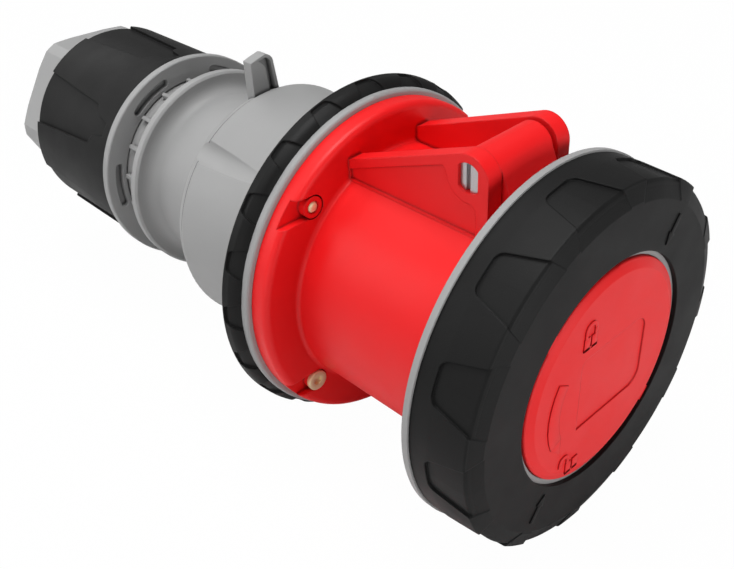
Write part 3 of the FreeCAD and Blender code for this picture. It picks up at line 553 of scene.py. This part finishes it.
def wedge(body, start, end, width):
    """Bar that narrows from its full width at the start to a blunt point at the end."""
    piece = bar(body, start, end, width)
    tip = Vector((end[0], 0, end[1]))
    bpy.ops.object.mode_set(mode="EDIT")
    bpy.ops.mesh.select_mode(type="VERT")
    bpy.ops.mesh.select_all(action="DESELECT")
    bpy.ops.object.mode_set(mode="OBJECT")
    for vertex in piece.data.vertices:
        near_end = (vertex.co.x - end[0]) ** 2 + (vertex.co.z - end[1]) ** 2
        near_start = (vertex.co.x - start[0]) ** 2 + (vertex.co.z - start[1]) ** 2
        vertex.select = near_end < near_start
    bpy.ops.object.mode_set(mode="EDIT")
    bpy.ops.transform.resize(value=(POINT_SHARE, 1, POINT_SHARE), center_override=tip)
    bpy.ops.object.mode_set(mode="OBJECT")
    return piece


def arc_band(body, centre, radius, start, sweep, width):
    """Band bent round a centre on the face, by spinning a small rectangle; degrees from +X to +Z."""
    piece = fresh(bpy.ops.mesh.primitive_plane_add, size=1,
                  location=(centre[0] + radius, on_face(body), centre[1]))
    piece.scale = (width, SIGN_PROUD + SIGN_SUNK, 1)
    settle(piece, "arc")
    middle = (centre[0], 0, centre[1])
    bpy.ops.object.mode_set(mode="EDIT")
    bpy.ops.mesh.select_all(action="SELECT")
    bpy.ops.transform.rotate(value=math.radians(start), orient_axis="Y", center_override=middle)
    steps = max(6, int(abs(sweep) / DEGREES_A_STEP))
    bpy.ops.mesh.spin(steps=steps, angle=math.radians(sweep), center=middle, axis=(0, 1, 0))
    bpy.ops.mesh.select_all(action="SELECT")
    bpy.ops.mesh.normals_make_consistent(inside=False)
    bpy.ops.object.mode_set(mode="OBJECT")
    return piece


def finish_sign(parts, name, body, finish):
    """Join the parts, round their edges, and give the side walls a painted shade in a deeper tone."""
    sign = join(parts, name)
    soften(sign, SIGN_EDGE)
    sign.data.materials.clear()
    sign.data.materials.append(FINISHES[finish])
    sign.data.materials.append(SHADED_SIGN_WALLS[finish])
    # Side walls take the painted shade, faces turned to the front keep the plain finish.
    for face in sign.data.polygons:
        face.material_index = 0 if face.normal.y < -0.8 else 1
    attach(sign, body)
    print(name, len(sign.data.polygons), "faces")


print("sign helpers ready")

# %% [markdown]
# ## The padlocks
# Each padlock is a block with a keyhole and a bow. A keyhole could be cut with a boolean, but a block made of
# two halves with a gap between them gives the same dark slot with clean edges. The bow of the open padlock
# swings out to the left and keeps one leg in the block.

# %% Padlocks
BOW_STROKE = 1.3 * MM
KEYHOLE_W = 0.7 * MM
FOOT_H = 1.0 * MM


def padlock(name, block_x, block_z, bow_centre, bow_r, leg_ends):
    """Padlock from its block's x and z ranges, the bow's centre and radius, and where its two legs end."""
    middle_x = sum(block_x) / 2
    foot_z = block_z[0] + FOOT_H / 2
    height = block_z[1] - block_z[0]
    middle_z = sum(block_z) / 2
    parts = [bar("lid", (block_x[0], middle_z), (middle_x - KEYHOLE_W / 2, middle_z), height),
             bar("lid", (middle_x + KEYHOLE_W / 2, middle_z), (block_x[1], middle_z), height),
             bar("lid", (block_x[0], foot_z), (block_x[1], foot_z), FOOT_H)]
    for side, end in zip((-1, 1), leg_ends):
        x = bow_centre[0] + side * bow_r
        parts.append(bar("lid", (x, bow_centre[1]), (x, end), BOW_STROKE))
    parts.append(arc_band("lid", bow_centre, bow_r, 0, 180, BOW_STROKE))
    finish_sign(parts, name, "lid", "red_plastic")


padlock("sign_shut", block_x=(-13.5 * MM, -7.3 * MM), block_z=(15.6 * MM, 20.2 * MM),
        bow_centre=(-10.4 * MM, 22.3 * MM), bow_r=2.25 * MM, leg_ends=(20.0 * MM, 20.0 * MM))
padlock("sign_open", block_x=(-16.9 * MM, -10.9 * MM), block_z=(-30.2 * MM, -25.6 * MM),
        bow_centre=(-17.9 * MM, -24.1 * MM), bow_r=1.9 * MM, leg_ends=(-25.4 * MM, -25.8 * MM))

# %% [markdown]
# ## The arrows
# The lid's arrow is a band swept round a point near the middle of the disc, ending in a point at the open
# padlock. The ring's two arrows are a bar and a wedge each, and the second is made half a turn on.

# %% Arrows
BAND_CENTRE = (-1.2 * MM, -3.7 * MM)
BAND_R = 23.8 * MM
BAND_W = 5.2 * MM
BAND_START = 148.5
BAND_SWEEP = 55.0
HEAD_OVERLAP = 0.5
HEAD_SWEEP = 12
HEAD_OUTWARD = 0.6 * MM


def polar(centre, radius, degrees):
    return (centre[0] + radius * math.cos(math.radians(degrees)),
            centre[1] + radius * math.sin(math.radians(degrees)))


band_end = BAND_START + BAND_SWEEP
head_start = polar(BAND_CENTRE, BAND_R, band_end - HEAD_OVERLAP)
head_end = polar(BAND_CENTRE, BAND_R + HEAD_OUTWARD, band_end + HEAD_SWEEP)
finish_sign([arc_band("lid", BAND_CENTRE, BAND_R, BAND_START, BAND_SWEEP, BAND_W),
             wedge("lid", head_start, head_end, BAND_W)], "sign_arrow", "lid", "red_plastic")

RING_ARROW_DEGREES = 52.3
SHAFT_R = (51.5 * MM, 45.3 * MM)
SHAFT_W = 1.9 * MM
HEAD_R = (45.5 * MM, 41.5 * MM)
HEAD_W = 3.8 * MM
AXIS = (0.0, 0.0)
for number, turn in enumerate((RING_ARROW_DEGREES, RING_ARROW_DEGREES + 180)):
    shaft = bar("ring", polar(AXIS, SHAFT_R[0], turn), polar(AXIS, SHAFT_R[1], turn), SHAFT_W)
    head = wedge("ring", polar(AXIS, HEAD_R[0], turn), polar(AXIS, HEAD_R[1], turn), HEAD_W)
    finish_sign([shaft, head], f"ring_arrow_{number}", "ring", "black_soft")

# %% [markdown]
# ## Finish
# The view transform is Standard, so a colour shows as it was written.

# %% Finish
bpy.context.scene.view_settings.view_transform = "Standard"
